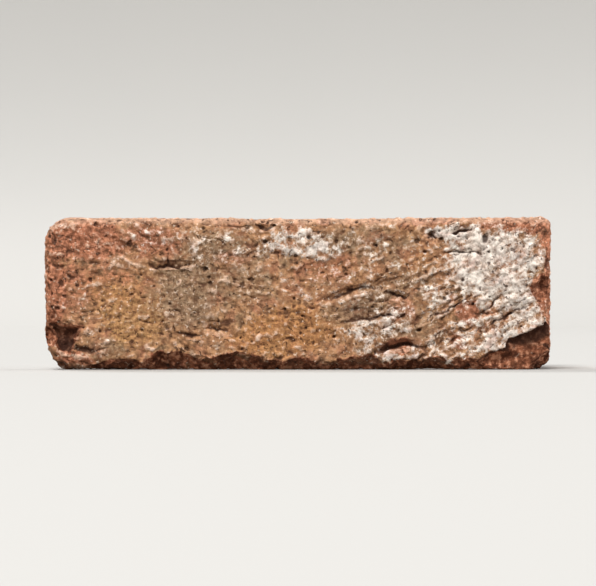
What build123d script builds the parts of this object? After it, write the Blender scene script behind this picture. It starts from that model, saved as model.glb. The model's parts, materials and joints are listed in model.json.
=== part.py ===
from build123d import *
import os

# Overall size of the corner, in millimetres
stretcher_length = 215.0
header_length = 102.5
height = 65.0
slip_thickness = 22.0

# Unevenness of the hand-made clay
stretcher_crown = 0.7
header_crown = 0.5
top_bed_sag = 0.8

# Rounding of the two free ends, seen square on to each outer face
stretcher_end_top_round = 11.0
stretcher_end_foot_width = 11.0
stretcher_end_foot_rise = 19.0
header_end_top_round = 7.0
header_end_foot_round = 11.0

# Rounding that tumbling left on the outer arrises
corner_arris_round = 5.5
face_arris_round = 4.5

# Flakes off the foot arris of the stretcher face
# Each row is distance from the free end, half length, rise up the face, bite into the bed
stretcher_foot_flakes = [
    (57.0, 15.0, 5.8, 5.4),
    (81.0, 18.0, 6.6, 6.0),
    (109.0, 12.0, 4.2, 4.8),
    (134.0, 19.0, 4.8, 5.2),
    (166.0, 17.0, 4.4, 4.8),
]

# Flakes off the foot arris of the header face
# Each row is distance from the corner, half length, rise up the face, bite into the bed
header_foot_flakes = [
    (27.0, 12.0, 5.4, 5.2),
    (45.0, 9.0, 7.6, 5.4),
    (68.0, 15.0, 4.6, 5.0),
]

# Folds where the clay creased against the mould, on the stretcher face
# Each row is distance from the free end, height, half length, half width, depth, slope in degrees
stretcher_folds = [
    (34.5, 50.5, 10.0, 3.0, 0.8, -38.0),
    (53.5, 44.4, 11.0, 1.9, 1.0, 3.0),
    (73.0, 17.4, 9.0, 3.0, 0.9, -12.0),
    (92.0, 60.0, 9.0, 2.0, 0.8, 0.0),
    (118.0, 43.0, 12.0, 3.6, 0.8, 12.0),
    (130.5, 33.0, 11.0, 2.6, 1.2, 15.0),
    (134.0, 23.2, 12.0, 3.0, 0.9, 0.0),
    (144.5, 36.4, 8.0, 2.6, 0.9, 4.0),
    (146.0, 16.2, 7.0, 2.4, 0.7, -8.0),
    (149.5, 9.8, 11.0, 2.4, 1.4, 8.0),
    (150.5, 31.0, 7.0, 2.6, 1.0, -14.0),
    (161.5, 22.0, 8.0, 2.8, 0.8, 26.0),
    (164.5, 57.0, 6.5, 2.6, 1.0, -28.0),
    (166.0, 37.5, 10.0, 3.0, 0.8, 20.0),
    (172.0, 12.5, 13.0, 4.2, 0.9, 20.0),
    (177.0, 59.2, 7.5, 2.2, 1.2, 15.0),
    (178.5, 24.5, 8.5, 4.8, 1.0, 33.0),
    (182.0, 49.3, 11.0, 3.0, 0.9, -4.0),
    (189.0, 27.5, 9.5, 3.0, 1.0, 40.0),
    (197.0, 23.5, 12.0, 3.6, 0.9, 30.0),
]

# Folds on the header face
# Each row is distance from the corner, then as above
header_folds = [
    (7.5, 44.4, 5.5, 2.2, 1.2, 0.0),
    (24.0, 29.0, 9.0, 3.0, 0.8, -12.0),
    (53.0, 58.6, 9.0, 2.4, 0.8, 0.0),
    (68.0, 23.5, 10.0, 2.8, 0.9, 5.0),
    (90.0, 55.2, 7.5, 2.4, 0.9, 0.0),
]

# Spall beside the foot of the corner, a shallow dish under a broken edge
# Each point of the edge is distance from the corner and height
corner_spall_edge = [
    (33.0, 3.0),
    (26.0, 7.4),
    (20.0, 9.0),
    (19.0, 12.6),
    (13.0, 15.0),
    (4.0, 19.0),
    (0.0, 20.0),
]
corner_spall_radius = 160.0
corner_spall_depth = 7.3
corner_spall_middle_past_corner = 7.0
corner_spall_middle_below_bed = 18.0

# Corner of the foot, knocked off
corner_knock_on_stretcher = 12.0
corner_knock_on_header = 17.0
corner_knock_rise = 11.0
corner_knock_roundness = 700.0

# Chip off the upright corner arris
corner_chip_height = 34.0
corner_chip_half_length = 8.0
corner_chip_on_stretcher = 6.8
corner_chip_on_header = 4.6

# Chip off the upright arris of the stretcher's free end
end_chip_height = 14.5
end_chip_half_length = 6.0
end_chip_on_stretcher = 5.0
end_chip_on_end = 4.0

# Three-cornered pocket beside that chip, made of hollows that run into one another
# Each row is distance from the free end, height, mouth radius, depth
end_pocket_hollows = [
    (6.6, 16.6, 3.4, 2.4),
    (11.9, 15.4, 3.4, 2.6),
    (9.2, 11.6, 3.8, 4.2),
]

# Faces and arrises, with the middle of the plan at the origin
x_end = -stretcher_length / 2
x_corner = stretcher_length / 2
y_corner = -header_length / 2
y_end = header_length / 2
x_back = x_corner - slip_thickness
y_back = y_corner + slip_thickness
cutting_margin = 2.0

left = Vector(-1, 0, 0)
back = Vector(0, 1, 0)
up = Vector(0, 0, 1)


def plan_prism():
    """The L in plan, with crowned outer faces and straight sawn backs."""
    x_arris = x_corner - header_crown
    y_arris = y_corner + stretcher_crown
    outer_faces = ThreePointArc((x_end, y_arris), (0, y_corner), (x_arris, y_arris))
    outer_faces += ThreePointArc((x_arris, y_arris), (x_corner, 0), (x_arris, y_end))
    sawn_backs = Polyline(
        (x_arris, y_end), (x_back, y_end), (x_back, y_back), (x_end, y_back), (x_end, y_arris)
    )
    return extrude(make_face(outer_faces + sawn_backs), amount=height)


def stretcher_elevation():
    """The stretcher seen square on: flat lower bed, sagging upper bed, worn free end."""
    x_past = x_corner + cutting_margin
    x_foot = x_end + stretcher_end_foot_width
    top = (x_end, height)
    outline = EllipticalCenterArc(
        (x_foot, stretcher_end_foot_rise),
        stretcher_end_foot_width,
        stretcher_end_foot_rise,
        start_angle=180,
        arc_size=90,
    )
    outline += Polyline((x_foot, 0), (x_past, 0), (x_past, height))
    outline += ThreePointArc((x_past, height), (0, height - top_bed_sag), top)
    outline += Line(top, (x_end, stretcher_end_foot_rise))
    face = round_off(make_face(outline), top, stretcher_end_top_round)
    return extrude(Plane.XZ * face, amount=header_length, both=True)


def header_elevation():
    """The header seen square on, with its worn free end."""
    y_past = y_corner - cutting_margin
    foot = (y_end, 0)
    top = (y_end, height)
    face = make_face(Polyline((y_past, 0), foot, top, (y_past, height), close=True))
    face = round_off(face, foot, header_end_foot_round)
    face = round_off(face, top, header_end_top_round)
    return extrude(Plane.YZ * face, amount=stretcher_length, both=True)


def round_off(face, point, radius):
    """Round the corner of a flat outline that lies nearest to a point."""
    return fillet(face.vertices().sort_by_distance(point)[0], radius)


def wear_arrises(body):
    """Round the upright corner, then every edge round the two outer faces."""
    corner = Vertex(x_corner, y_corner, height / 2)
    corner_edge = body.edges().filter_by(Axis.Z).sort_by_distance(corner)[0]
    body = fillet(corner_edge, corner_arris_round)
    return fillet(body.edges().filter_by(is_outer_rim), face_arris_round)


def is_outer_rim(edge):
    """True for an edge between an outer face and a bed or a free end."""
    middle = edge @ 0.5
    rim_depth = max(stretcher_crown, header_crown) + corner_arris_round / 2
    on_stretcher = middle.Y < y_corner + rim_depth
    on_header = middle.X > x_corner - rim_depth
    upright = (edge @ 0).Z != (edge @ 1).Z and edge.geom_type == GeomType.LINE
    beside_corner = middle.X > 0 and middle.Y < 0
    return (on_stretcher or on_header) and not (upright and beside_corner)


def flake(middle, face_a, face_b, half_length, reach_a, reach_b):
    """A ball that takes a shell-shaped flake off an arris.

    It starts and stops half_length either side of the middle of the flake, and
    at the middle it reaches reach_a across face_a and reach_b across face_b.
    """
    out_a = (half_length**2 - reach_a**2) / (2 * reach_a)
    out_b = (half_length**2 - reach_b**2) / (2 * reach_b)
    radius = (out_a**2 + out_b**2 + half_length**2) ** 0.5
    return Pos(middle - face_a * out_a - face_b * out_b) * Sphere(radius)


def foot_flakes():
    """The flakes along the foot of both outer faces."""
    flakes = []
    for from_end, half_length, rise, bite in stretcher_foot_flakes:
        middle = Vector(x_end + from_end, y_corner, 0)
        flakes.append(flake(middle, up, back, half_length, rise, bite))
    for from_corner, half_length, rise, bite in header_foot_flakes:
        middle = Vector(x_corner, y_corner + from_corner, 0)
        flakes.append(flake(middle, up, left, half_length, rise, bite))
    return flakes


def upright_chips():
    """The chips off the upright arrises, at the corner and at the stretcher's free end."""
    at_corner = flake(
        Vector(x_corner, y_corner, corner_chip_height),
        left,
        back,
        corner_chip_half_length,
        corner_chip_on_stretcher,
        corner_chip_on_header,
    )
    at_end = flake(
        Vector(x_end, y_corner + stretcher_crown, end_chip_height),
        -left,
        back,
        end_chip_half_length,
        end_chip_on_stretcher,
        end_chip_on_end,
    )
    return [at_corner, at_end]


def folds():
    """The folds of both outer faces."""
    grooves = []
    for from_end, rise, half_length, half_width, depth, slope in stretcher_folds:
        x = x_end + from_end
        face = y_corner + stretcher_crown * (x / x_corner) ** 2
        run = Vector(1, 0, 0).rotate(Axis.Y, -slope)
        grooves.append(fold(Vector(x, face, rise), run, -back, half_length, half_width, depth))
    for from_corner, rise, half_length, half_width, depth, slope in header_folds:
        y = y_corner + from_corner
        face = x_corner - header_crown * (y / y_corner) ** 2
        run = Vector(0, 1, 0).rotate(Axis.X, slope)
        grooves.append(fold(Vector(face, y, rise), run, -left, half_length, half_width, depth))
    return grooves


def fold(middle, run, outward, half_length, half_width, depth):
    """A standing ring whose rim leaves a long groove that fades out at both ends."""
    rim = (half_length**2 + depth**2) / (2 * depth)
    tube = (half_width**2 + depth**2) / (2 * depth)
    standing = Plane(middle + outward * (rim - depth), x_dir=run, z_dir=outward.cross(run))
    return standing * Torus(rim - tube, tube)


def corner_spall():
    """The spall's outline taken back through the stretcher face, as deep as its ball."""
    edge = [(x_corner - from_corner, rise) for from_corner, rise in corner_spall_edge]
    x_start = edge[0][0]
    top_rise = edge[-1][1]
    x_past = x_corner + cutting_margin
    outline = Polyline(
        (x_start, -cutting_margin), *edge, (x_past, top_rise), (x_past, -cutting_margin), close=True
    )
    block = extrude(Plane.XZ * make_face(outline), amount=header_length, both=True)
    x_middle = x_corner + corner_spall_middle_past_corner
    y_middle = y_corner + corner_spall_depth - corner_spall_radius
    z_middle = -corner_spall_middle_below_bed
    return block & Pos(x_middle, y_middle, z_middle) * Sphere(corner_spall_radius)


def corner_knock():
    """A ball that takes the corner of the foot off, reaching along the three arrises there."""
    out_x = ball_offset(corner_knock_on_stretcher)
    out_y = ball_offset(corner_knock_on_header)
    out_z = ball_offset(corner_knock_rise)
    radius = (out_x**2 + out_y**2 + out_z**2 + corner_knock_roundness) ** 0.5
    return Pos(x_corner + out_x, y_corner - out_y, -out_z) * Sphere(radius)


def ball_offset(reach):
    """How far out that ball stands, on the axis where it reaches in by reach."""
    return (corner_knock_roundness - reach**2) / (2 * reach)


def end_pocket():
    """Balls that leave round hollows in the stretcher face."""
    hollows = []
    for from_end, rise, mouth_radius, depth in end_pocket_hollows:
        radius = (mouth_radius**2 + depth**2) / (2 * depth)
        y_centre = y_corner + stretcher_crown + depth - radius
        hollows.append(Pos(x_end + from_end, y_centre, rise) * Sphere(radius))
    return hollows


body = wear_arrises(plan_prism() & stretcher_elevation() & header_elevation())
broken_off = [*foot_flakes(), *upright_chips(), corner_spall(), corner_knock(), *end_pocket()]
for lost in [*folds(), *broken_off]:
    body -= lost

os.makedirs("parts", exist_ok=True)
export_step(body, "parts/brick_slip_corner.step")
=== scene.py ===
import json
import math

import bmesh
import bpy
import numpy as np
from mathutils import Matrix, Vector


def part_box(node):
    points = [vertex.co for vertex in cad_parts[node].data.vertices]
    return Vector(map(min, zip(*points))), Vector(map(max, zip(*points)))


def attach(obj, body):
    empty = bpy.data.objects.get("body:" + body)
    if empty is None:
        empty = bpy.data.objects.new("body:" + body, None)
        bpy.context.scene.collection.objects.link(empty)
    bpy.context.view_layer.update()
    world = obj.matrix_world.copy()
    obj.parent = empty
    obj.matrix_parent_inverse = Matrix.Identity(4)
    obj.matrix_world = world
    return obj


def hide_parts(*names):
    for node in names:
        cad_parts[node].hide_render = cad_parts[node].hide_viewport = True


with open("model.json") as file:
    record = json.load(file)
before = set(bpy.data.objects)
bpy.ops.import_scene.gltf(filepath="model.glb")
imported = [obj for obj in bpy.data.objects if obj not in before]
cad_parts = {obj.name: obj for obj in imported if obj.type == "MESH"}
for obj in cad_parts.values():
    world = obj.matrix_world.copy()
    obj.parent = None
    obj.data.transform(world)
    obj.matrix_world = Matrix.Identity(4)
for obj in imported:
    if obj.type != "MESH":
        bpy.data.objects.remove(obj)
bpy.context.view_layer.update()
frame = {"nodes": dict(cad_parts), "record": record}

# A millimetre in the frame's unit
MM = 0.001

# The solid that the worn brick stands for
NODE = "brick_slip_corner"
low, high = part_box(NODE)
mounts = {mount["name"]: mount for mount in frame["record"]["mounts"]}

# Where its faces are, in millimetres
X_END = low.x / MM
X_CORNER = high.x / MM
Y_CORNER = low.y / MM
Y_END = high.y / MM
TOP = high.z / MM
Y_BACK = mounts["stretcher_back"]["pos_m"][1] / MM
X_BACK = mounts["header_back"]["pos_m"][0] / MM

# Middle of the stretcher face, in metres
FACE_MIDDLE = (0, Y_CORNER * MM, TOP * MM / 2)

# How far the middle of each outer face stands in front of its ends
STRETCHER_CROWN = 0.7
HEADER_CROWN = 0.5

# The worn brick's mesh: its voxels, and how far it may stand proud of the solid
VOXEL = 0.46
PROUD = 0.35

# The most triangles that it keeps, and how much more of them the plain sides give up
MOST_TRIANGLES = 198000
PLAIN_SIDE_THRIFT = 0.004

# Vertices of the solid that are closer than this many metres are one
WELD = 1e-6

# Depths behind an outer face: up to the first its skin counts in full, and past the second it ends
SKIN_FULL = 4
SKIN_END = 9

# Edges that lie no deeper behind an outer face than this are its arrises
ARRIS_DEPTH = 4.5

# The tables below are in millimetres and degrees. Places on the stretcher face are measured
# from its free end, places on the header face from the corner, and heights from the foot.

# Flakes off the foot arrises
# Rows are distance along the face, half length, rise up the face, bite into the bed
STRETCHER_FOOT_FLAKES = [
    (24, 6, 2.6, 3.0),
    (36, 7, 4.0, 3.6),
    (47, 8, 3.6, 4.2),
    (49, 7, 7.0, 4.6),
    (56, 8, 7.2, 5.0),
    (57, 15, 5.8, 5.4),
    (69, 8, 4.6, 4.8),
    (81, 18, 6.6, 6.0),
    (97, 9, 4.0, 4.6),
    (109, 12, 4.2, 4.8),
    (121, 8, 3.6, 4.4),
    (134, 19, 4.8, 5.2),
    (151, 9, 3.8, 4.4),
    (166, 17, 4.4, 4.8),
    (182, 9, 4.0, 4.6),
]
HEADER_FOOT_FLAKES = [
    (27, 12, 5.4, 5.2),
    (45, 9, 7.6, 5.4),
    (68, 15, 4.6, 5.0),
    (14, 6, 3.6, 3.4),
    (35.5, 4.5, 5.6, 3.4),
    (52.5, 4.5, 5.2, 3.4),
    (57, 6, 3.4, 3.4),
    (79, 7, 2.8, 3.4),
]

# Spall beside the foot of the corner, under a broken edge, dished back to a large ball
SPALL_EDGE = [
    (182, -6), (182, 3), (189, 7.4), (195, 9), (196, 12.6), (202, 15), (211, 19), (219, 20.5)
]
SPALL_RADIUS = 160
SPALL_MIDDLE = (222, -18)
SPALL_DEPTH = 7.3

# Distances along the face over which the painted shade under that edge grows, and its pale rim starts
SPALL_SHADE_GROWS = (192, 206)
SPALL_RIM_STARTS = (186, 192)

# Corner of the foot, knocked off by a ball: reaches on the stretcher, the header and the height
KNOCK_REACH = (12, 17, 11)
KNOCK_ROUNDNESS = 700

# Chips off the upright arrises: height, half length, reach on the stretcher, reach past the arris
CORNER_CHIP = (34, 8, 6.8, 4.6)
END_CHIP = (14.5, 6, 5, 4)

# Pocket in the stretcher face: its corners, the slope of its sides and its depth
POCKET_CORNERS = [(1.2, 20.0), (16.2, 18.6), (11.2, 6.6), (6.0, 8.2)]
POCKET_SLOPE = 1.5
POCKET_DEPTH = 4.2

# The pocket lies within this distance of the free end
POCKET_REACH = 24

# Places where the skin is off, as soft ovals
# Rows are distance along the face, height, half length, half height, tilt, strength
STRETCHER_LOST = [
    (213, 34, 7.5, 7.5, 0, 0.95),
    (3, 19, 3.5, 7, 0, 0.7),
    (192, 4, 8, 2.6, 20, 0.7),
    # The row at 30 along the foot stands partly for painted shade: its raw clay darkens the foot
    (30, 2.2, 12, 2.6, 4, 0.7),
]
HEADER_LOST = [
    (3.5, 44.5, 5.0, 2.4, 0, 0.95),
    (12, 3.5, 9, 5.5, -10, 0.9),
    (45, 4.5, 9, 3.5, 0, 0.8),
    (96, 6, 6, 5, 30, 0.6),
]

# Strips of skin left on the broken foot, in rows of the same kind
STRETCHER_KEPT = [
    (67, 4.8, 7, 1.1, -18, 1.0),
    (88, 4.6, 8, 1.2, -14, 1.0),
    (106, 2.2, 4, 0.9, 12, 1.0),
    (121, 3.0, 4, 1.1, 0, 1.0),
    (136, 3.4, 10, 1.5, 3, 1.0),
    (163, 3.2, 11, 1.4, -3, 1.0),
]
HEADER_KEPT = [
    (31, 3, 8.5, 4.5, 0, 1.0),
    (68, 2.5, 14, 4, 0, 1.0),
]

# Colour zones of the stretcher face, in rows of the same kind
STRETCHER_WHITE = [
    (190, 44, 25, 16, 14, 0.95),
    (186, 51, 15, 9, 8, 1.2),
    (201, 31, 13, 10, 30, 0.95),
    (178, 15, 25, 8, 18, 0.55),
    (140, 18, 17, 8, 20, 0.62),
    (107, 53.5, 20, 6.5, 4, 0.7),
    (121, 49.5, 10, 5, 5, 0.6),
    (124, 54, 9, 5, 0, 0.36),
    (177, 53, 9, 7, 10, 0.85),
    (178, 58, 10, 4.5, -5, 1.1),
    (46, 56, 14, 5, 0, 0.33),
    (152, 38, 12, 6, 15, 0.36),
    (134, 28.5, 13, 4, 15, 0.36),
    (188, 27.5, 6, 4, 30, 0.75),
    (152, 5.2, 12, 3, 3, 0.72),
    (138, 9, 8, 4, 20, 0.5),
    (118, 52.3, 6, 3.4, 10, 1.2),
    (169, 57, 7, 3.6, -10, 1.0),
    (74, 51, 15, 8, 0, 0.36),
    (148, 50, 18, 10, 0, 0.27),
    (128, 36, 22, 10, 15, 0.27),
    (170, 31, 10, 9, 30, 0.55),
    (170, 4, 14, 3, 0, 0.6),
    (198, 17, 19, 5, 33, 0.75),
    (204, 47, 7, 13, 0, 0.8),
    (203.5, 21, 12, 5, 27, 0.82),
    (191, 11.5, 9, 4.5, 25, 0.9),
]
STRETCHER_GREY = [
    (62, 33, 15, 18, -20, 0.9),
    (50, 30, 11, 14, -10, 0.42),
    (74, 51, 18, 9, 0, 0.8),
    (84, 37, 14, 9, 10, 0.6),
    (134, 26, 20, 8, 20, 0.8),
    (150, 15, 22, 9, 15, 0.6),
    (196, 55, 14, 4, 0, 0.6),
    (204, 25, 9, 8, 30, 0.6),
    (144, 51, 16, 8, 0, 0.5),
    (155, 35, 14, 11, 0, 0.5),
    (126, 54, 13, 7, 0, 0.8),
    (27, 9, 9, 5, 0, 0.7),
]
STRETCHER_OCHRE = [
    (104, 17, 23, 12, 6, 1.0),
    (94, 11, 20, 7, 0, 0.9),
    (32, 36, 17, 8, 0, 0.5),
    (158, 47, 7, 8, 0, 0.5),
]
STRETCHER_YELLOW = [
    (38, 22, 15, 12, 0, 1.0),
    (30, 30, 12, 8, 0, 0.6),
]
STRETCHER_RED = [
    (16, 54, 20, 10, 0, 1.0),
    (46, 55, 15, 8, -10, 0.7),
    (3, 34, 6, 24, 0, 0.9),
    (12, 33, 12, 11, 0, 0.6),
    (121, 42, 17, 6, 12, 0.5),
    (179, 24.5, 5.5, 5, 20, 1.1),
    (174.5, 11, 5, 3.5, 0, 0.9),
    (200, 62, 17, 4, 0, 1.0),
    (214, 34, 4, 12, 0, 1.2),
    (80, 46, 7, 4, 20, 0.5),
    (150, 26, 6, 5, 0, 0.6),
    (152, 11, 10, 4, 10, 0.5),
    (12, 6, 10, 3.5, -15, 0.9),
    (211, 50, 3.5, 9, 0, 0.5),
    (28, 41, 14, 4, 0, 0.5),
]

# Colour zones of the header face, and one with nearly square corners
HEADER_WHITE = [
    (36.5, 21, 13, 16.5, 0, 0.82),
    (30, 10, 7, 6, 0, 0.9),
    (40, 26, 8, 9, 0, 1.0),
    (62, 42, 9.5, 14, 0, 0.92),
    (52, 15, 9, 9, 0, 0.66),
    (52, 29, 8, 8, 0, 0.58),
    (33, 49, 2.2, 1.6, 0, 1.0),
    (22, 20, 2.4, 4.2, 15, 1.2),
    (16.5, 38, 3.4, 1.8, 10, 0.85),
    (8.5, 42, 4.2, 1.6, -12, 0.95),
    (81, 34.4, 3.4, 1.5, 25, 1.0),
    (44.5, 42, 4.2, 2.6, 40, 0.72),
    (52.6, 47, 4.0, 5.0, 0, 0.95),
    (79, 4, 5, 2.5, 0, 0.7),
]
HEADER_WHITE_SQUARE = [
    (67, 14.5, 12.5, 13.5, 0, 0.88),
]

# Cracks and creases, and ridges where the depth is below 0
# Rows are the depth, the half width, the lip below, and points along the face
STRETCHER_CRACKS = [
    (1.2, 0.6, 0.4, [(44.5, 44.5), (48, 43.4), (52.5, 44.6), (57, 43.4), (64.4, 45.5)]),
    (1.1, 0.65, 0.0, [(52.5, 44.6), (52.8, 48.2)]),
    (2.0, 0.85, 0.5, [(140, 6.8), (145, 8.8), (150, 10.4), (156, 10.6), (160, 9.6)]),
    (1.6, 0.7, 0.3, [(171.5, 57.5), (176, 58), (183, 61)]),
    (1.2, 0.6, 0.0, [(162, 56.5), (167, 55.5)]),
    (0.8, 1.0, 0.4, [(119, 29.5), (126, 31.8), (134, 34.5), (143, 34.8)]),
    (1.0, 0.7, 0.3, [(143, 33), (150, 31.4), (154, 30)]),
    (1.7, 1.1, 0.3, [(12.6, 9.4), (15.5, 9.0), (18.5, 8.3), (22.2, 6.9)]),
    (0.6, 0.5, 0.2, [(21, 7.4), (24, 8.6), (28, 10)]),
    (0.9, 0.6, 0.2, [(54, 16.5), (62, 14.5), (68, 14.8)]),
    (0.8, 0.6, 0.2, [(126, 20), (136, 22), (146, 23.5), (152, 21)]),
    (0.9, 0.6, 0.2, [(162, 21.5), (168, 24), (176, 28), (183, 32.5)]),
    (0.7, 0.6, 0.2, [(75, 61), (84, 60.5), (90, 61.4)]),
    (0.8, 0.6, 0.2, [(168, 50.5), (178, 50), (190, 48.5)]),
    (0.4, 0.8, 0.3, [(28, 56), (34, 52), (40, 47)]),
    (0.7, 0.6, 0.2, [(184, 16), (192, 21), (202, 26), (209, 28)]),
    (0.9, 0.6, 0.2, [(89, 60.5), (94, 60), (99, 60.6)]),
    (0.7, 0.6, 0.2, [(67.6, 18.6), (73, 17.2), (78.4, 16.3)]),
    (0.8, 0.6, 0.2, [(184, 23), (189, 27), (194, 32)]),
    (-0.5, 0.6, 0.0, [(28, 50), (33, 47.5), (38, 44.8), (43, 43)]),
    (-0.5, 0.6, 0.0, [(27, 46), (33, 43.6), (40, 41.6)]),
    (-0.5, 0.5, 0.0, [(62, 51), (67, 55), (72, 58)]),
    (-0.5, 0.5, 0.0, [(66, 50), (71, 54.5), (76, 57)]),
    (-0.45, 0.6, 0.0, [(61, 6.6), (66, 6.6), (71, 4.6)]),
    (-0.5, 0.6, 0.0, [(79, 8), (85, 6), (91, 5)]),
    (-0.35, 0.7, 0.0, [(152, 44), (152.6, 49), (155, 52.4), (159, 53.4)]),
    (-0.5, 0.6, 0.0, [(30, 31), (26, 27), (25, 22)]),
    (-0.8, 1.1, 0.0, [(5, 8.6), (9, 6.4), (14, 5.4), (20, 5.8)]),
]
HEADER_CRACKS = [
    (1.3, 0.8, 0.2, [(1.5, 44), (4.5, 45.4), (8.5, 44.2)]),
]

# Pits that stand out
# Rows are distance along the face, height, radius, depth
STRETCHER_PITS = [
    (94, 54, 1.5, 1.5),
    (68.2, 42.2, 1.6, 1.8),
    (69.4, 39, 1.0, 1.1),
    (70.5, 36.5, 1.3, 0.9),
    (60.8, 9.4, 1.5, 1.6),
    (118, 41, 1.2, 1.1),
    (159, 34, 1.3, 1.2),
    (152, 23, 1.6, 1.2),
    (109, 23, 1.0, 1.1),
    (161, 50, 1.2, 1.0),
    (123, 14, 1.1, 1.1),
    (159, 17, 1.4, 1.3),
    (187, 55.5, 1.9, 1.5),
    (86, 60, 1.3, 1.0),
    (168, 55.5, 1.3, 0.9),
    (12, 39, 1.6, 0.9),
    (52, 18, 1.4, 1.0),
    (84, 36, 1.5, 0.9),
    (88, 38, 1.2, 0.9),
    (24, 16.5, 1.0, 1.0),
    (50.3, 20.5, 1.0, 1.0),
    (53.3, 27.7, 0.8, 0.8),
    (80.5, 37.6, 0.8, 0.9),
    (83, 35.2, 0.7, 0.8),
    (86.5, 38.2, 0.8, 0.9),
    (89, 36.4, 0.7, 0.8),
    (87, 33.6, 0.7, 0.8),
    (11, 40, 1.3, 1.0),
    (2.5, 38, 1.1, 1.0),
    (2.5, 32, 1.0, 1.0),
    (3, 26, 1.2, 1.0),
    (36, 53, 1.6, 0.9),
    (164, 57, 2.2, 1.0),
    (158, 54.5, 1.8, 0.8),
    (84, 8.8, 1.1, 1.0),
    (106.3, 47.9, 1.1, 1.0),
    (88.9, 47.5, 1.0, 0.9),
    (115.9, 58.3, 1.2, 1.0),
    (112.2, 55.7, 1.3, 0.9),
    (101.9, 25.7, 0.9, 0.8),
    (105.9, 30.1, 1.0, 0.8),
    (111.1, 17.5, 0.9, 0.8),
    (56.7, 60.8, 1.1, 0.9),
    (21.6, 61.6, 1.0, 0.7),
    (16, 17.9, 1.0, 0.9),
    (41.2, 40.2, 0.9, 0.8),
    (19.5, 38, 1.4, 1.0),
    (5.4, 25.8, 1.6, 0.9),
    (4, 54.4, 1.8, 0.9),
    (9, 31, 1.5, 0.7),
    (14, 35.5, 1.3, 0.7),
    (7.5, 36.5, 1.6, 0.8),
]
HEADER_PITS = [
    (36, 61, 1.2, 1.0),
    (85, 28.4, 1.2, 1.2),
    (39, 26.5, 1.2, 1.0),
    (53, 19.5, 1.2, 1.0),
    (50, 13.5, 1.3, 0.8),
    (66, 51, 1.0, 0.8),
    (8, 51, 1.0, 0.9),
    (89, 39, 1.2, 0.9),
    (93, 21, 1.3, 1.0),
    (91, 12, 1.6, 1.2),
    (96, 32, 1.0, 0.9),
]

# Streaks in the clay: tilt, length and width
LEVEL_FOLDS = (-4, 9, 2.9)
RISING_FOLDS = (27, 8, 2.5)
DRAG_MARKS = (0, 18, 3.5)

# Distance from the free end over which the level folds give way to rising ones
FOLDS_TURN = (105, 140)

# Seed of all that is random
SEED = 11

# Random nicks in the outer arrises, and chips off the rear ones
# Each is a ball's bite: the ranges are of its depth, and of the ball's radius over that depth
NICKS = 46
NICK_DEPTHS = (0.3, 1.3)
NICK_ROUNDNESS = (3, 7)
CHIPS = 46
CHIP_DEPTHS = (0.25, 1.1)
CHIP_ROUNDNESS = (2.5, 6)

# Random chips stay this far from the inner angle
INNER_ANGLE_CLEAR = 3

# Random pits: their number, their least radius and how much is added to it at most
PITS = 260
SMALLEST_PIT = 0.5
PIT_SPREAD = 0.8

# How far outside a ball the vertices are still looked at, because its bite is rough
BITE_MARGIN = 3

# Centre of the saw blade, as x + y and as a height
BLADE_CENTRE = (-60, -190)

# Stains in the order in which they lie: field, colour, darker shade, strength
STAINS = [
    ("yellow", (216, 166, 108), (150, 102, 64), 0.7),
    ("ochre", (218, 158, 100), (150, 97, 58), 0.75),
    ("grey", (178, 152, 123), (106, 82, 61), 0.7),
    ("red", (217, 144, 111), (120, 63, 38), 0.85),
]

# Dust, and a painted highlight, on whatever looks up
DUST_AND_HIGHLIGHT = (214, 171, 144)

# Height of the grain that is too fine for the mesh
BUMP = 0.6

# Floor and surroundings as they are seen, and the floor as it throws light back
FLOOR_COLOUR = (189, 187, 183)
SKY_COLOUR = (226, 224, 219)
FLOOR_BOUNCE = (150, 147, 142)

# Floor and backdrop: radii in metres, and steps up the curve and round it
FLOOR_RADIUS = 2.6
SWEEP_RADIUS = 0.45
SWEEP_STEPS = 16
ROUND_STEPS = 96

# Lamps, with the world's even light after them
# Rows are name, place and size in metres, power in watts
LAMPS = [
    ("key", (-1.2, -5.5, 6.9), 3.1, 840),
    ("side", (5.5, 0.6, 1.9), 2.0, 188),
    ("rear", (-1.5, 3.7, 3.7), 1.6, 150),
]
DAYLIGHT = 0.2

# Camera: its distance from the face and how far it sees in metres, focal length in millimetres
CAMERA_DISTANCE = 2.1
FARTHEST_SEEN = 20
FOCAL_LENGTH = 300


def smooth(start, stop, values):
    """0 at start, 1 at stop and a soft slope between, also where stop is the lower."""
    t = np.clip((values - start) / (stop - start), 0, 1)
    return t * t * (3 - 2 * t)


class Noise:
    """Smooth gradient noise on a cubic lattice, the same on every run."""

    def __init__(self, seed):
        draw = np.random.RandomState(seed)
        self.order = np.concatenate([draw.permutation(256)] * 3)
        slopes = draw.normal(size=(3, 256))
        self.slopes = slopes / np.linalg.norm(slopes, axis=0)

    def at(self, points, size):
        """Noise from about -1 to 1, with bumps about as wide as size."""
        scaled = points.T / size
        cell = np.floor(scaled).astype(int)
        inside = scaled - cell
        fade = inside**3 * (inside * (inside * 6 - 15) + 10)
        share = (1 - fade, fade)
        x, y, z = cell & 255
        total = np.zeros(len(points))
        for i in (0, 1):
            row = self.order[(x + i) & 255] + y
            for j in (0, 1):
                line = self.order[row + j] + z
                weight = share[i][0] * share[j][1]
                for k in (0, 1):
                    a, b, c = self.slopes[:, self.order[line + k]]
                    height = a * (inside[0] - i) + b * (inside[1] - j) + c * (inside[2] - k)
                    total += height * weight * share[k][2]
        return total * 1.7

    def layers(self, points, size, count, gain=0.55):
        """Several noises added, each half the size of the one before."""
        strengths = gain ** np.arange(count)
        layers = [s * self.at(points + 17.3 * i, size / 2**i) for i, s in enumerate(strengths)]
        return sum(layers) / strengths.sum() * 1.4


noise = Noise(SEED)


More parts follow.
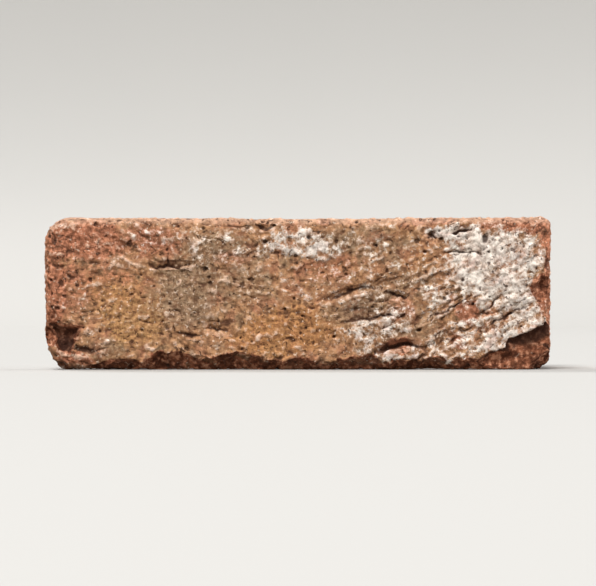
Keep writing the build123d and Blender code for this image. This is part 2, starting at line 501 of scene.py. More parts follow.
def ovals(along, up, rows, squareness=2):
    """The strongest of several soft ovals at each point, from 0 to their strength."""
    best = np.zeros(len(along))
    for middle, height, half_length, half_height, tilt, strength in rows:
        turn = math.radians(tilt)
        a = (along - middle) * math.cos(turn) + (up - height) * math.sin(turn)
        b = (up - height) * math.cos(turn) - (along - middle) * math.sin(turn)
        powers = abs(a / half_length) ** squareness + abs(b / half_height) ** squareness
        best = np.maximum(best, strength * smooth(1.3, 0.55, powers ** (1 / squareness)))
    return best


def from_path(along, up, path):
    """Distance to a broken line, the side of it, and how far along it, from 0 to 1."""
    best = np.full(len(along), 1e9)
    side = np.zeros(len(along))
    share = np.zeros(len(along))
    for number, (start, stop) in enumerate(zip(path, path[1:])):
        run, rise = stop[0] - start[0], stop[1] - start[1]
        a, b = along - start[0], up - start[1]
        t = np.clip((a * run + b * rise) / (run**2 + rise**2), 0, 1)
        distance = np.hypot(a - t * run, b - t * rise)
        closer = distance < best
        best = np.where(closer, distance, best)
        side = np.where(closer, np.sign(run * b - rise * a), side)
        share = np.where(closer, (number + t) / (len(path) - 1), share)
    return best, side, share


def read_vectors(source, name):
    """A list of vectors of a mesh as an array with one row for each."""
    flat = np.zeros(len(source) * 3, np.float32)
    source.foreach_get(name, flat)
    return flat.reshape(-1, 3).astype(float)


class Surface:
    """The brick's vertices in millimetres, where each lies, and what is known of it."""

    def __init__(self, mesh):
        self.mesh = mesh
        self.points = read_vectors(mesh.vertices, "co")
        self.read_normals()
        self.locate()
        self.broken = np.zeros(len(self.points))
        self.nicked = np.zeros(len(self.points))
        self.painted_hollow_shade = np.zeros(len(self.points))
        self.spall_rim = np.zeros(len(self.points))

    def read_normals(self):
        """Takes each vertex's normal from the mesh as it is now."""
        self.normals = read_vectors(self.mesh.vertex_normals, "vector")

    def write_points(self):
        """Moves the mesh's vertices to the points."""
        self.mesh.vertices.foreach_set("co", self.points.astype(np.float32).ravel())
        self.mesh.update()

    def store(self, name, values):
        """Keeps one number for each vertex, for the material to read."""
        layer = self.mesh.attributes.new(name, "FLOAT", "POINT")
        layer.data.foreach_set("value", values.astype(np.float32))

    def locate(self):
        """Says how much of each vertex belongs to each side of the brick."""
        x, y, z = self.points.T
        self.along_stretcher = x - X_END
        self.along_header = y - Y_CORNER
        self.up = z
        across = 2 * x / (X_CORNER - X_END)
        along = 2 * y / (Y_END - Y_CORNER)
        behind_stretcher = y - Y_CORNER - STRETCHER_CROWN * across**2
        behind_header = X_CORNER - HEADER_CROWN * along**2 - x
        behind = np.minimum(behind_stretcher, behind_header)
        lean = behind_header - behind_stretcher + 1.5 * noise.at(self.points, 6)
        on_stretcher_side = smooth(-1.2, 1.2, lean)
        self.stretcher = smooth(SKIN_END, SKIN_FULL, behind_stretcher) * on_stretcher_side
        self.header = smooth(SKIN_END, SKIN_FULL, behind_header) * (1 - on_stretcher_side)
        self.outer = np.maximum(self.stretcher, self.header)
        back = smooth(0.4, 0.1, abs(y - Y_BACK)) * smooth(0.6, 0.9, self.normals[:, 1])
        back *= x < X_BACK + 0.3
        left = smooth(0.4, 0.1, abs(x - X_BACK)) * smooth(0.6, 0.9, -self.normals[:, 0])
        left *= y > Y_BACK - 0.3
        self.sawn = np.maximum(back, left)
        flat = smooth(0.8, 0.97, abs(self.normals[:, 2]))
        self.bed = flat * (1 - self.outer)
        self.arris = smooth(0.97, 0.8, abs(self.normals).max(axis=1)) * (behind < ARRIS_DEPTH)
        # How much each vertex faces up near the outer faces: for dust with a painted highlight on top,
        # and painted shade below
        self.upward = self.normals[:, 2] * smooth(17, 3, behind)
        self.from_blade = np.hypot(x + y - BLADE_CENTRE[0], z - BLADE_CENTRE[1])

    def bite(self, centre, radius, rough, marks):
        """Pushes the surface out of a ball, by radius and the roughness of each point."""
        near = np.flatnonzero(abs(self.points[:, 0] - centre[0]) < radius + BITE_MARGIN)
        near = near[abs(self.points[near, 2] - centre[2]) < radius + BITE_MARGIN]
        away = self.points[near] - centre
        distance = np.linalg.norm(away, axis=1)
        reach = radius + rough[near]
        marks[near] = np.maximum(marks[near], smooth(0.45, 0.05, distance - reach))
        inside = distance < reach
        scale = reach[inside] / distance[inside]
        self.points[near[inside]] = centre + away[inside] * scale[:, None]

    def press(self, at, radius, depth, squash, rough):
        """Presses an uneven pit straight in at one vertex, and marks painted shade in it."""
        near = np.flatnonzero(abs(self.points[:, 0] - self.points[at, 0]) < 2 * radius)
        near = near[abs(self.points[near, 2] - self.points[at, 2]) < 2 * radius]
        away = self.points[near] - self.points[at]
        normal = self.normals[at]
        level = away @ normal
        away -= level[:, None] * normal
        away[:, 2] *= squash
        shape = smooth(1.1, 0.45, np.linalg.norm(away, axis=1) / radius + rough[near])
        shape *= abs(level) < 2 * radius
        self.points[near] -= normal * (depth * shape)[:, None]
        # Marks the pit for painted shade
        self.painted_hollow_shade[near] = np.maximum(self.painted_hollow_shade[near], shape)


def arris_ball(middle, face_a, face_b, half_length, reach_a, reach_b):
    """Centre and radius of the ball that takes a shell-shaped flake off an arris."""
    out_a = (half_length**2 - reach_a**2) / (2 * reach_a)
    out_b = (half_length**2 - reach_b**2) / (2 * reach_b)
    radius = math.sqrt(out_a**2 + out_b**2 + half_length**2)
    return np.array(middle) - np.array(face_a) * out_a - np.array(face_b) * out_b, radius


def breakage():
    """The balls that took the large flakes: off the feet, the corner and the free end."""
    up, left, right, back = (0, 0, 1), (-1, 0, 0), (1, 0, 0), (0, 1, 0)
    balls = []
    for along, half_length, rise, bite in STRETCHER_FOOT_FLAKES:
        balls.append(arris_ball((X_END + along, Y_CORNER, 0), up, back, half_length, rise, bite))
    for along, half_length, rise, bite in HEADER_FOOT_FLAKES:
        balls.append(arris_ball((X_CORNER, Y_CORNER + along, 0), up, left, half_length, rise, bite))
    height, *reaches = CORNER_CHIP
    balls.append(arris_ball((X_CORNER, Y_CORNER, height), left, back, *reaches))
    height, *reaches = END_CHIP
    balls.append(arris_ball((X_END, Y_CORNER + STRETCHER_CROWN, height), right, back, *reaches))
    reach = np.array(KNOCK_REACH)
    out = (KNOCK_ROUNDNESS - reach**2) / (2 * reach)
    centre = np.array([X_CORNER + out[0], Y_CORNER - out[1], -out[2]])
    balls.append((centre, math.sqrt((out**2).sum() + KNOCK_ROUNDNESS)))
    return balls


def pocket_off(surface, rough):
    """Breaks the pocket out of the stretcher face, and marks painted shade in it."""
    y = surface.points[:, 1]
    shift = 0.7 * noise.layers(surface.points + 41, 3, 3, 0.7)
    inward = np.full(len(y), 1e9)
    for start, stop in zip(POCKET_CORNERS, POCKET_CORNERS[1:] + POCKET_CORNERS[:1]):
        run, rise = stop[0] - start[0], stop[1] - start[1]
        across = rise * (surface.along_stretcher - start[0]) - run * (surface.up - start[1])
        inward = np.minimum(inward, across / math.hypot(run, rise) + shift)
    deep = np.clip(POCKET_SLOPE * inward, 0, POCKET_DEPTH)
    floor = Y_CORNER + STRETCHER_CROWN + deep + 0.5 * rough
    near = (y < Y_CORNER + 2 * POCKET_DEPTH) & (surface.along_stretcher < POCKET_REACH)
    taken = smooth(0, 0.25, inward) * near
    surface.points[:, 1] += np.maximum(floor - y, 0) * taken
    surface.broken = np.maximum(surface.broken, taken)
    # Painted shade in the pocket, strongest in its lower part
    shade = smooth(0, 1.4, inward) * (0.75 + 0.25 * smooth(15, 12, surface.up))
    surface.painted_hollow_shade = np.maximum(surface.painted_hollow_shade, shade * near)


def spall_off(surface, rough):
    """Takes the skin off beside the foot of the corner, under a ragged edge with painted shade beneath
    it.
    """
    x, y, z = surface.points.T
    ragged = 0.9 * noise.layers(surface.points + 23, 3.6, 3, 0.7)
    distance, side, _ = from_path(surface.along_stretcher + ragged, z + 0.8 * ragged, SPALL_EDGE)
    below = -side * distance
    across = surface.along_stretcher - SPALL_MIDDLE[0]
    up = z - SPALL_MIDDLE[1]
    dish = np.sqrt(np.maximum(SPALL_RADIUS**2 - across**2 - up**2, 0)) - SPALL_RADIUS
    floor = Y_CORNER + SPALL_DEPTH + dish + rough
    near = (y < floor + 0.5) & (surface.along_stretcher > SPALL_EDGE[0][0] - 2)
    taken = smooth(-0.2, 0.3, below) * near
    surface.points[:, 1] += np.maximum(floor - y, 0) * taken
    surface.broken = np.maximum(surface.broken, taken)
    # Painted shade under the broken edge, deeper towards the corner
    reach = 0.5 + 7 * smooth(*SPALL_SHADE_GROWS, surface.along_stretcher)
    shade = smooth(1.1, 0.5, (below + ragged) / reach)
    surface.painted_hollow_shade = np.maximum(surface.painted_hollow_shade, taken * shade)
    surface.spall_rim = smooth(7, 2, abs(below)) * smooth(*SPALL_RIM_STARTS, surface.along_stretcher)


def bite_at_random(surface, draw, places, count, depths, roundness, rough):
    """Takes small shells out at some of the places, picked at random."""
    for at in draw.choice(places, count, replace=False):
        depth = draw.uniform(*depths)
        radius = depth * draw.uniform(*roundness)
        centre = surface.points[at] + surface.normals[at] * (radius - depth)
        surface.bite(centre, radius, rough, surface.nicked)


def break_off(surface):
    """Takes off the large flakes, the spall and the pocket, then small nicks and chips."""
    points = surface.points
    fracture = np.maximum(0.25 + 0.95 * noise.layers(points, 6, 4, 0.7), 0.03)
    uneven = fracture + 0.9 * noise.layers(points + 90, 9, 3, 0.7)
    uneven += 1.1 * noise.layers(points + 140, 3.4, 3, 0.75)
    for centre, radius in breakage():
        surface.bite(centre, radius, uneven, surface.broken)
    frayed = 0.5 * noise.layers(points, 4, 3)
    for rows, along, weight in (
        (STRETCHER_KEPT, surface.along_stretcher, surface.stretcher),
        (HEADER_KEPT, surface.along_header, surface.header),
    ):
        kept = ovals(along, surface.up, rows) + frayed
        surface.broken *= 1 - smooth(0.3, 0.6, kept) * weight
    spall_off(surface, 0.6 * fracture)
    pocket_off(surface, fracture)
    draw = np.random.RandomState(SEED)
    outer = np.flatnonzero(surface.arris > 0.6)
    bite_at_random(surface, draw, outer, NICKS, NICK_DEPTHS, NICK_ROUNDNESS, 0.4 * fracture)
    inner = np.hypot(points[:, 0] - X_BACK, points[:, 1] - Y_BACK) < INNER_ANGLE_CLEAR
    rear = np.flatnonzero((abs(surface.normals).max(axis=1) < 0.9) & (surface.outer < 0.1) & ~inner)
    bite_at_random(surface, draw, rear, CHIPS, CHIP_DEPTHS, CHIP_ROUNDNESS, 0.3 * fracture)


def pit_faces(surface):
    """The pits that stand out on the two faces, and random ones all over the skin."""
    draw = np.random.RandomState(SEED + 1)
    rough = 0.35 * noise.at(surface.points, 1.4)
    faces = [
        (STRETCHER_PITS, surface.along_stretcher, surface.stretcher),
        (HEADER_PITS, surface.along_header, surface.header),
    ]
    places = []
    for rows, along, weight in faces:
        for middle, height, radius, depth in rows:
            away = np.hypot(along - middle, surface.up - height)
            nearest = np.where(weight < 0.5, np.inf, away).argmin()
            places.append((nearest, radius, depth))
    skin = np.flatnonzero(surface.sawn < 0.1)
    for at in draw.choice(skin, PITS, replace=False):
        radius = SMALLEST_PIT + PIT_SPREAD * draw.random_sample() ** 3
        places.append((at, radius, radius * draw.uniform(0.5, 1.1)))
    for at, radius, depth in places:
        surface.press(at, radius, depth, draw.uniform(0.7, 1.5), rough)


def streaks(points, tilt, length, width):
    """Noise drawn out into streaks that rise at a tilt, seen on the stretcher face."""
    turn = math.radians(tilt)
    x, y, z = points.T
    z = z + 4.5 * noise.at(points - 11, 27) + 1.4 * noise.at(points + 60, 9)
    drawn = np.stack(
        [
            (x * math.cos(turn) + z * math.sin(turn)) / length,
            y / length,
            (z * math.cos(turn) - x * math.sin(turn)) / width,
        ],
        axis=1,
    )
    folds = noise.layers(drawn, 1, 3, 0.65)
    return 0.55 * folds + 1.1 * abs(noise.layers(drawn + 9, 1.3, 2)) - 0.35


def cracks(along, up, rows):
    """Depth of the cracks, with a low lip under each, and the painted shade in them."""
    relief = np.zeros(len(along))
    dark = np.zeros(len(along))
    for depth, half_width, lip, path in rows:
        distance, side, share = from_path(along, up, path)
        ends = np.clip(np.sin(math.pi * np.clip(share, 0.03, 0.97)), 0, 1) ** 0.5
        groove = np.exp(-((distance / half_width) ** 2)) * ends
        shoulder = np.exp(-(((distance - 2 * half_width) / (1.6 * half_width)) ** 2))
        relief += lip * ends * shoulder * (side < 0) - depth * groove
        # Painted shade along the deeper grooves
        dark = np.maximum(dark, groove * (depth > 0.5))
    return relief, dark


def colour_fields(surface):
    """How strong each stain and crust is on the two faces, with ragged edges."""
    points = surface.points
    drift = np.stack([noise.layers(points + 31, 13, 4), noise.layers(points - 47, 13, 4)]) * 4.6
    fray = np.stack([noise.layers(points + 83, 3.6, 2), noise.layers(points - 29, 3.6, 2)]) * 1.3
    along_stretcher = surface.along_stretcher + drift[0] + fray[0]
    tatter = 1.1 * noise.layers(points + 57, 1.9, 2)
    along_header = surface.along_header + 0.5 * drift[0] + fray[0] + tatter
    up = surface.up + 0.7 * drift[1] + fray[1]
    steps = surface.along_header + 0.2 * drift[0]
    rough = noise.layers(points, 3.4, 3)
    fields = {}
    for name, rows in (
        ("white", STRETCHER_WHITE),
        ("grey", STRETCHER_GREY),
        ("ochre", STRETCHER_OCHRE),
        ("yellow", STRETCHER_YELLOW),
        ("red", STRETCHER_RED),
    ):
        fields[name] = ovals(along_stretcher, up, rows) * surface.stretcher
    fields["white"] = np.maximum(fields["white"], 0.78 * surface.spall_rim * surface.stretcher)
    crust = np.maximum(
        ovals(along_header, up + tatter, HEADER_WHITE),
        ovals(steps, surface.up + 0.3 * drift[1], HEADER_WHITE_SQUARE, 7),
    )
    crust -= 0.3 * smooth(0.0, 0.5, noise.layers(points + 120, 1.7, 2))
    fields["white"] = np.maximum(fields["white"], crust * surface.header)
    fields["red"] = np.maximum(fields["red"], np.maximum(surface.header, 0.8 - surface.outer))
    fields["red"] = np.maximum(fields["red"], 0.8 * surface.nicked)
    fields["white"] *= 1 - 0.8 * surface.nicked
    fields["rough"] = rough
    lost = ovals(surface.along_stretcher + 0.3 * drift[0], surface.up + 0.3 * drift[1], STRETCHER_LOST)
    lost *= surface.stretcher
    off = ovals(surface.along_header + 0.3 * drift[0], surface.up + 0.3 * drift[1], HEADER_LOST)
    lost = np.maximum(lost, off * surface.header)
    fields["lost"] = smooth(0.42, 0.52, lost + 0.2 * rough)
    surface.broken = np.maximum(surface.broken, fields["lost"])
    return fields


def skin_relief(surface, fields):
    """The moulded skin: a low swell, creases, sandy grain, crust, cracks and their lips."""
    points = surface.points
    swell = 0.5 * noise.at(points, 36) + 0.32 * noise.at(points, 13)
    level = streaks(points, *LEVEL_FOLDS)
    rising = streaks(points, *RISING_FOLDS)
    towards_corner = smooth(*FOLDS_TURN, surface.along_stretcher) * surface.stretcher
    crease = level + (rising - level) * towards_corner
    plain = noise.layers(points + 5, 4.5, 3)
    crease = plain + (crease - plain) * (0.2 + 0.8 * surface.stretcher)
    crust = smooth(0.42, 0.62, fields["white"] + 0.35 * crease + 0.22 * fields["rough"])
    grain = 0.24 * noise.at(points, 2.1) + 0.16 * noise.at(points, 1.1)
    crumbs = 0.4 * smooth(0.22, 0.5, noise.at(points + 70, 2.6))
    fine = 0.55 * crease + (1 + 0.6 * crust) * grain + crumbs + 0.34 * crust
    fine -= 0.4 * smooth(0.3, 0.7, -crease)
    bend = np.stack([noise.layers(points + 3, 4, 2), noise.layers(points - 3, 4, 2)]) * 0.9
    for rows, along, weight in (
        (STRETCHER_CRACKS, surface.along_stretcher, surface.stretcher),
        (HEADER_CRACKS, surface.along_header, surface.header),
    ):
        # The cracks' depth, and their painted shade
        depth, dark = cracks(along + bend[0], surface.up + bend[1], rows)
        fine += depth * weight
        surface.painted_hollow_shade = np.maximum(surface.painted_hollow_shade, dark * weight)
    fields["fine"] = fine
    fields["white"] = fields["white"] + 0.35 * crease
    return swell - 0.4 + fine


def bed_relief(surface):
    """A sanded bed with a few drag marks and dents."""
    points = surface.points
    drag = streaks(points, *DRAG_MARKS)
    return 0.45 * noise.layers(points, 16, 4) + 0.2 * drag - 0.45


def broken_relief(surface, fields):
    """Raw clay, rough and crumbly, lower where only the skin came off."""
    points = surface.points
    rough = 0.42 * noise.layers(points, 3.6, 3, 0.65) + 0.14 * noise.at(points, 1.05)
    return rough - 0.15 - 0.8 * fields["lost"]


def sawn_relief(surface):
    """A flat saw cut with faint arcs from the blade."""
    arcs = noise.at(np.stack([surface.from_blade] * 3, axis=1), 4)
    return 0.06 * arcs - 0.05


def work_surface(surface):
    """Breaks and wears the surface, and stores what its material reads."""
    break_off(surface)
    fields = colour_fields(surface)
    surface.write_points()
    surface.read_normals()
    relief = skin_relief(surface, fields)
    relief += (bed_relief(surface) - relief) * surface.bed
    relief += (broken_relief(surface, fields) - relief) * surface.broken
    relief += (sawn_relief(surface) - relief) * surface.sawn
    surface.points += surface.normals * relief[:, None]
    surface.write_points()
    surface.read_normals()
    pit_faces(surface)
    lowest = np.array([X_END - PROUD, Y_CORNER - PROUD, 0])
    highest = np.array([X_CORNER + PROUD, Y_END + PROUD, TOP + PROUD])
    surface.points = np.clip(surface.points, lowest, highest)
    surface.write_points()
    for name in ("white", "grey", "ochre", "yellow", "red", "fine"):
        surface.store(name, fields[name])
    surface.store("broken", surface.broken)
    surface.store("painted_hollow_shade", surface.painted_hollow_shade)
    surface.store("sawn", surface.sawn)
    surface.store("bed", surface.bed)
    surface.store("upward", surface.upward)
    surface.store("blade", surface.from_blade)


def with_modifier(piece, kind, **settings):
    """Applies one modifier to a piece."""
    modifier = piece.modifiers.new(kind.lower(), kind)
    for name, value in settings.items():
        setattr(modifier, name, value)
    shapes = bpy.context.evaluated_depsgraph_get()
    shaped = piece.evaluated_get(shapes)
    mesh = bpy.data.meshes.new_from_object(shaped, preserve_all_data_layers=True, depsgraph=shapes)
    piece.modifiers.clear()
    piece.data = mesh


def copy_solid(name):
    """A welded copy of the solid, with its mesh in millimetres."""
    mesh = bpy.data.meshes.new(name)
    work = bmesh.new()
    work.from_mesh(frame["nodes"][NODE].data)
    bmesh.ops.remove_doubles(work, verts=work.verts, dist=WELD)
    bmesh.ops.scale(work, vec=(1 / MM, 1 / MM, 1 / MM), verts=work.verts)
    work.to_mesh(mesh)
    work.free()
    piece = bpy.data.objects.new(name, mesh)
    bpy.context.scene.collection.objects.link(piece)
    return piece


def thin_out(piece, surface):
    """Fewer triangles, most of them saved on the sides that are plain."""
    group = piece.vertex_groups.new(name="plain")
    plain = np.clip(1 - surface.outer - surface.broken, 0, 1)
    for level in (0.0, 0.5, 1.0):
        chosen = np.flatnonzero(abs(plain - level) <= 0.25)
        group.add(chosen.tolist(), max(level, 0.01), "REPLACE")
    triangles = sum(len(polygon.vertices) - 2 for polygon in piece.data.polygons)
    with_modifier(
        piece,
        "DECIMATE",
        ratio=min(1, MOST_TRIANGLES / triangles),
        vertex_group="plain",
        vertex_group_factor=PLAIN_SIDE_THRIFT,
    )


def build_brick():
    """The worn brick, made from the solid and back in metres."""
    piece = copy_solid("worn_brick_slip")
    with_modifier(piece, "REMESH", mode="VOXEL", voxel_size=VOXEL, use_smooth_shade=True)
    surface = Surface(piece.data)
    work_surface(surface)
    thin_out(piece, surface)
    piece.vertex_groups.clear()
    piece.data.transform(((MM, 0, 0, 0), (0, MM, 0, 0), (0, 0, MM, 0), (0, 0, 0, 1)))
    piece.data.update()
    return piece


def linear(red, green, blue):
    """A colour written from 0 to 255, as the shader takes it."""
    channels = [value / 255 for value in (red, green, blue)]
    return (*(c / 12.92 if c <= 0.04045 else ((c + 0.055) / 1.055) ** 2.4 for c in channels), 1)


def new_material(name):
    """A material, its tree of nodes and the inputs of its shader."""
    material = bpy.data.materials.new(name)
    material.use_nodes = True
    tree = material.node_tree
    return material, tree, tree.nodes["Principled BSDF"].inputs


class Nodes:
    """Adds nodes to one tree, with a short call for each kind."""

    def __init__(self, tree):
        self.tree = tree

    def add(self, kind, inputs, **settings):
        """A node with its settings made, and its inputs linked or set."""
        node = self.tree.nodes.new(kind)
        for name, value in settings.items():
            setattr(node, name, value)
        for socket, value in inputs.items():
            self.feed(node.inputs[socket], value)
        return node

    def feed(self, socket, value):
        """Links an input to another node's output, or sets it."""
        if isinstance(value, bpy.types.NodeSocket):
            self.tree.links.new(value, socket)
        else:
            socket.default_value = value

    def field(self, name):
        """A number that the mesh holds for each vertex."""
        return self.add("ShaderNodeAttribute", {}, attribute_name=name).outputs["Fac"]

    def math(self, operation, a, b):
        """Two numbers joined by one operation."""
        return self.add("ShaderNodeMath", {0: a, 1: b}, operation=operation).outputs[0]

    def ramp(self, value, start, stop, low=0.0, high=1.0):
        """low at start, high at stop and a soft slope between."""
        inputs = {"Value": value, "From Min": start, "From Max": stop, "To Min": low, "To Max": high}
        node = self.add("ShaderNodeMapRange", inputs, interpolation_type="SMOOTHSTEP")
        return node.outputs["Result"]

    def mix(self, factor, a, b, blend="MIX"):
        """Colour a with b laid over it."""
        inputs = {0: factor, 6: a, 7: b}
        node = self.add("ShaderNodeMix", inputs, data_type="RGBA", blend_type=blend)
        return node.outputs[2]


class Clay(Nodes):
    """The nodes of the brick's material, with the patterns that its parts share."""

    def __init__(self, tree):
        super().__init__(tree)
        place = self.add("ShaderNodeTexCoord", {}).outputs["Object"]
        scaled = self.add("ShaderNodeVectorMath", {0: place, "Scale": 1 / MM}, operation="SCALE")
        self.place = scaled.outputs[0]
        self.grain = self.noise(1.5, 4, 0.68)
        self.sand = self.noise(2.3, 2, 0.6)
        self.mottle = self.noise(4.6, 4, 0.62)
        self.cloud = self.noise(17, 3, 0.55)
        self.coarse = self.ramp(self.mottle, 0.25, 0.75, -0.3, 0.3)
        self.wobble = self.math("ADD", self.coarse, self.ramp(self.grain, 0.25, 0.75, -0.3, 0.3))
        # Height of the relief, from which ridges get a painted highlight and creases painted shade
        self.height = self.math("ADD", self.field("fine"), self.math("MULTIPLY", self.wobble, 0.7))
        # Dust, and a painted highlight, on what faces up
        upward = self.math("ADD", self.field("upward"), self.math("MULTIPLY", self.wobble, 0.8))
        self.dust_and_highlight = self.ramp(upward, 0.15, 0.75, 0, 0.6)
        blade = {"W": self.field("blade"), "Scale": 0.9, "Detail": 3.0}
        self.arcs = self.add("ShaderNodeTexNoise", blade, noise_dimensions="1D").outputs["Fac"]
        plain = self.math("MAXIMUM", self.field("bed"), self.field("sawn"))
        plain = self.math("MAXIMUM", plain, self.field("broken"))
        self.lively = self.math("SUBTRACT", 1.0, self.math("MULTIPLY", plain, 0.65))
        pores = self.ramp(self.noise(1.9, 2, 0.6, 0.6), 0.39, 0.29)
        self.pores = self.math("MULTIPLY", pores, self.lively)

    def noise(self, size, detail, roughness, distortion=0.0):
        """Noise from 0 to 1, with bumps about as wide as size in millimetres."""
        inputs = {
            "Vector": self.place,
            "Scale": 1 / size,
            "Detail": detail,
            "Roughness": roughness,
            "Distortion": distortion,
        }
        return self.add("ShaderNodeTexNoise", inputs).outputs["Fac"]


def stained(clay, skin, field, colour, shade, strength):
    """The skin with a stain over it, mottled between the stain's colour and a darker shade."""
    spread = clay.math("ADD", clay.field(field), clay.math("MULTIPLY", clay.wobble, 0.8))
    tone = clay.mix(clay.ramp(clay.grain, 0.3, 0.7), linear(*shade), linear(*colour))
    return clay.mix(clay.ramp(spread, 0.1, 0.95, 0, strength), skin, tone)


def moulded_skin(clay):
    """The skin as moulded, then stained, paler on its ridges as a painted highlight, dusty with a
    painted highlight on top, and darker below as painted shade.
    """
    skin = clay.mix(clay.ramp(clay.mottle, 0.32, 0.68), linear(158, 112, 77), linear(202, 154, 112))
    pink = clay.ramp(clay.noise(7.5, 3, 0.6), 0.45, 0.7, 0, 0.6)
    skin = clay.mix(pink, skin, linear(190, 126, 98))
    drab = clay.ramp(clay.noise(6.1, 3, 0.6, 0.3), 0.48, 0.7, 0, 0.5)
    skin = clay.mix(drab, skin, linear(150, 132, 104))
    skin = clay.mix(clay.ramp(clay.cloud, 0.4, 0.7, 0, 0.45), skin, linear(186, 134, 98))
    for stain in STAINS:
        skin = stained(clay, skin, *stain)
    # Painted highlight: paler on the ridges of the relief
    skin = clay.mix(clay.ramp(clay.height, 0.15, 0.8, 0, 0.75), skin, linear(232, 196, 170))
    # Dust with a painted highlight on what faces up
    skin = clay.mix(clay.dust_and_highlight, skin, linear(*DUST_AND_HIGHLIGHT))
    # Painted shade: darker where the skin faces down
    below = clay.math("SUBTRACT", clay.math("MULTIPLY", clay.wobble, 0.5), clay.field("upward"))
    return clay.mix(clay.ramp(below, 0.1, 0.7, 0, 0.7), skin, linear(96, 58, 40))


def crusted(clay, skin):
    """The skin with the white lime crust over it, and painted shade in the creases of both."""
    crust = clay.math("ADD", clay.field("white"), clay.math("MULTIPLY", clay.wobble, 1.25))
    crust = clay.ramp(crust, 0.3, 0.95)
    white = clay.mix(clay.ramp(clay.mottle, 0.3, 0.65), linear(212, 188, 172), linear(250, 240, 228))
    pink = clay.ramp(clay.noise(5.2, 3, 0.6, 0.4), 0.5, 0.7, 0, 0.7)
    white = clay.mix(pink, white, linear(222, 190, 178))
    grey = clay.ramp(clay.noise(8, 3, 0.6, 0.2), 0.5, 0.7, 0, 0.6)
    white = clay.mix(grey, white, linear(206, 198, 190))
    white = clay.mix(clay.ramp(clay.grain, 0.46, 0.3, 0, 0.7), white, linear(130, 102, 88))
    skin = clay.mix(clay.math("MULTIPLY", crust, 0.93), skin, white)
    # Painted shade in the creases
    return clay.mix(clay.ramp(clay.height, 0.0, -0.75, 0, 0.85), skin, linear(88, 56, 40))


def raw_clay(clay):
    """Broken clay, with pale sand and dark lumps, and darker where it faces down as painted shade."""
    raw = clay.mix(clay.ramp(clay.mottle, 0.3, 0.7), linear(104, 57, 36), linear(180, 114, 82))
    raw = clay.mix(clay.ramp(clay.sand, 0.5, 0.68, 0, 0.8), raw, linear(210, 152, 120))
    lumps = clay.ramp(clay.noise(5.6, 3, 0.65, 0.3), 0.54, 0.36, 0, 0.7)
    raw = clay.mix(lumps, raw, linear(66, 30, 15))
    # Painted shade: darker where the broken clay faces down
    below = clay.math("SUBTRACT", clay.math("MULTIPLY", clay.wobble, 1.1), clay.field("upward"))
    return clay.mix(clay.ramp(below, 0.0, 0.9, 0, 0.25), raw, linear(84, 38, 16))


def sanded_bed(clay):
    """A sanded bed with painted shade in its dents, lime on it, and dust with a painted highlight."""
    patches = clay.ramp(clay.noise(7, 4, 0.6), 0.3, 0.7)
    bed = clay.mix(patches, linear(158, 100, 74), linear(192, 132, 100))
    # Painted shade in the dents
    bed = clay.mix(clay.ramp(clay.height, 0.0, -0.8, 0, 0.6), bed, linear(112, 68, 50))
    lime = clay.math("ADD", clay.cloud, clay.math("MULTIPLY", clay.coarse, 0.6))
    bed = clay.mix(clay.ramp(lime, 0.45, 0.85, 0, 0.6), bed, linear(208, 182, 156))
    return clay.mix(clay.dust_and_highlight, bed, linear(*DUST_AND_HIGHLIGHT))


def sawn_back(clay):
    """A saw cut with the arcs of the blade, through pale and dark grit."""
    patches = clay.ramp(clay.noise(2.6, 3, 0.7), 0.35, 0.65)
    sawn = clay.mix(patches, linear(150, 88, 62), linear(186, 118, 88))
    sawn = clay.mix(clay.ramp(clay.arcs, 0.35, 0.65, 0, 0.35), sawn, linear(206, 148, 118))
    pale = clay.ramp(clay.noise(3.4, 1, 0.5), 0.68, 0.75, 0, 0.8)
    sawn = clay.mix(pale, sawn, linear(206, 166, 134))
    dark = clay.ramp(clay.noise(4.4, 1, 0.5, 0.5), 0.33, 0.27, 0, 0.8)
    return clay.mix(dark, sawn, linear(100, 58, 42))


def gritty(clay, body):
    """The body with pale specks, dark pores, light and dark sand, and painted shade in its hollows."""
    specks = clay.ramp(clay.noise(1.4, 1, 0.5), 0.64, 0.72)
    specks = clay.math("MULTIPLY", specks, clay.ramp(clay.cloud, 0.3, 0.6))
    specks = clay.math("MULTIPLY", specks, clay.lively)
    body = clay.mix(clay.math("MULTIPLY", specks, 0.7), body, linear(240, 216, 192))
    body = clay.mix(clay.math("MULTIPLY", clay.pores, 0.8), body, linear(76, 44, 30))
    body = clay.mix(1.0, body, clay.ramp(clay.sand, 0.3, 0.7, 0.72, 1.26), "MULTIPLY")
    # Painted shade: dark brown laid where the mesh marks a pit, crack, pocket or the spall's edge
    return clay.mix(clay.ramp(clay.field("painted_hollow_shade"), 0.3, 1.0, 0, 0.82), body, linear(52, 28, 18))


def fine_bump(clay):
    """Grain too fine for the mesh: grit, sand, pores and the arcs of the saw."""
    height = clay.math("ADD", clay.grain, clay.math("MULTIPLY", clay.noise(0.7, 3, 0.7), 0.5))
    height = clay.math("ADD", height, clay.math("MULTIPLY", clay.sand, 0.8))
    height = clay.math("SUBTRACT", height, clay.math("MULTIPLY", clay.pores, 0.7))
    arcs = clay.math("MULTIPLY", clay.arcs, clay.field("sawn"))
    height = clay.math("ADD", height, clay.math("MULTIPLY", arcs, 0.4))
    bump = clay.add("ShaderNodeBump", {"Height": height, "Strength": 1.0, "Distance": BUMP * MM})
    return bump.outputs["Normal"]


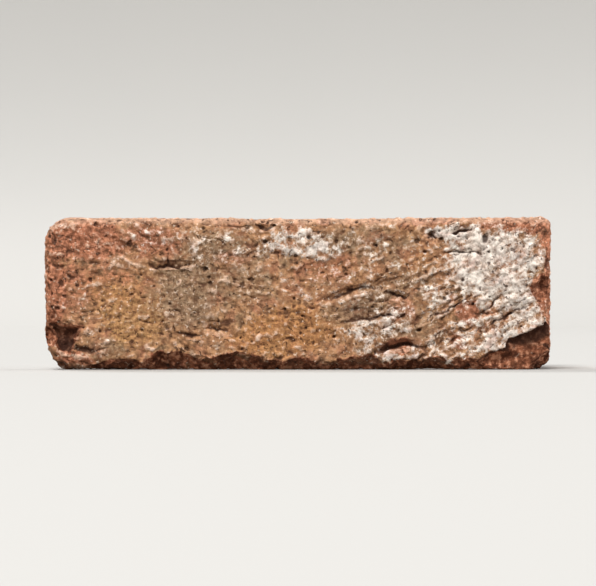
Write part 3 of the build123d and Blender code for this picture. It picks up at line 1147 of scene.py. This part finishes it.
def fired_clay():
    """Old hand-made brick: stained skin with a white crust, raw breaks and a sawn back."""
    material, tree, shader = new_material("fired_clay_worn")
    clay = Clay(tree)
    body = clay.mix(clay.field("broken"), crusted(clay, moulded_skin(clay)), raw_clay(clay))
    body = clay.mix(clay.field("bed"), body, sanded_bed(clay))
    body = clay.mix(clay.field("sawn"), body, sawn_back(clay))
    clay.feed(shader["Base Color"], gritty(clay, body))
    clay.feed(shader["Roughness"], clay.ramp(clay.grain, 0.2, 0.8, 0.82, 0.97))
    clay.feed(shader["Normal"], fine_bump(clay))
    shader["Specular IOR Level"].default_value = 0.25
    return material


def pale_to_eye(nodes, plain, pale):
    """A colour that is pale where it is seen, also in gloss, and plain where it lights."""
    path = nodes.add("ShaderNodeLightPath", {}).outputs
    seen = nodes.math("MAXIMUM", path["Is Camera Ray"], path["Is Glossy Ray"])
    seen = nodes.math("MAXIMUM", seen, path["Is Transmission Ray"])
    return nodes.mix(seen, plain, pale)


def sweep():
    """A round pale floor that curves up into a low backdrop all round."""
    work = bmesh.new()
    angles = [math.tau * i / ROUND_STEPS for i in range(ROUND_STEPS)]
    rings = []
    for step in range(SWEEP_STEPS + 1):
        turn = math.pi / 2 * step / SWEEP_STEPS
        reach = FLOOR_RADIUS + SWEEP_RADIUS * math.sin(turn)
        height = SWEEP_RADIUS * (1 - math.cos(turn))
        places = [(reach * math.cos(a), reach * math.sin(a), height) for a in angles]
        rings.append([work.verts.new(place) for place in places])
    work.faces.new(rings[0])
    for inner, outer in zip(rings, rings[1:]):
        for i in range(ROUND_STEPS):
            work.faces.new((inner[i - 1], outer[i - 1], outer[i], inner[i]))
    mesh = bpy.data.meshes.new("floor")
    work.to_mesh(mesh)
    work.free()
    for polygon in mesh.polygons:
        polygon.use_smooth = len(polygon.vertices) == 4
    floor = bpy.data.objects.new("floor", mesh)
    bpy.context.scene.collection.objects.link(floor)
    material, tree, shader = new_material("pale_floor")
    nodes = Nodes(tree)
    nodes.feed(shader["Base Color"], pale_to_eye(nodes, linear(*FLOOR_BOUNCE), linear(*FLOOR_COLOUR)))
    shader["Roughness"].default_value = 0.9
    mesh.materials.append(material)
    return floor


def soft_light(name, place, size, power):
    """A square lamp that faces the brick."""
    light = bpy.data.lights.new(name, "AREA")
    light.size = size
    light.energy = power
    lamp = bpy.data.objects.new(name, light)
    lamp.location = place
    aim = Vector(FACE_MIDDLE) - lamp.location
    lamp.rotation_euler = aim.to_track_quat("-Z", "Y").to_euler()
    bpy.context.scene.collection.objects.link(lamp)


def daylight(strength):
    """Even light from all round, in front of which the surroundings look pale."""
    world = bpy.data.worlds.new("studio")
    world.use_nodes = True
    nodes = Nodes(world.node_tree)
    colour = pale_to_eye(nodes, (strength, strength, strength, 1), linear(*SKY_COLOUR))
    nodes.feed(world.node_tree.nodes["Background"].inputs["Color"], colour)
    bpy.context.scene.world = world


def square_on_camera():
    """Looks straight at the stretcher face from far off, as the photograph does."""
    lens = bpy.data.cameras.new("camera")
    lens.lens = FOCAL_LENGTH
    lens.clip_end = FARTHEST_SEEN
    camera = bpy.data.objects.new("camera", lens)
    x, y, z = FACE_MIDDLE
    camera.location = (x, y - CAMERA_DISTANCE, z)
    camera.rotation_euler = (math.pi / 2, 0, 0)
    bpy.context.scene.collection.objects.link(camera)
    bpy.context.scene.camera = camera


brick = build_brick()
brick.data.materials.append(fired_clay())
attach(brick, "root")
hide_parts(NODE)

sweep()
for lamp in LAMPS:
    soft_light(*lamp)
daylight(DAYLIGHT)
square_on_camera()
bpy.context.scene.view_settings.view_transform = "Standard"
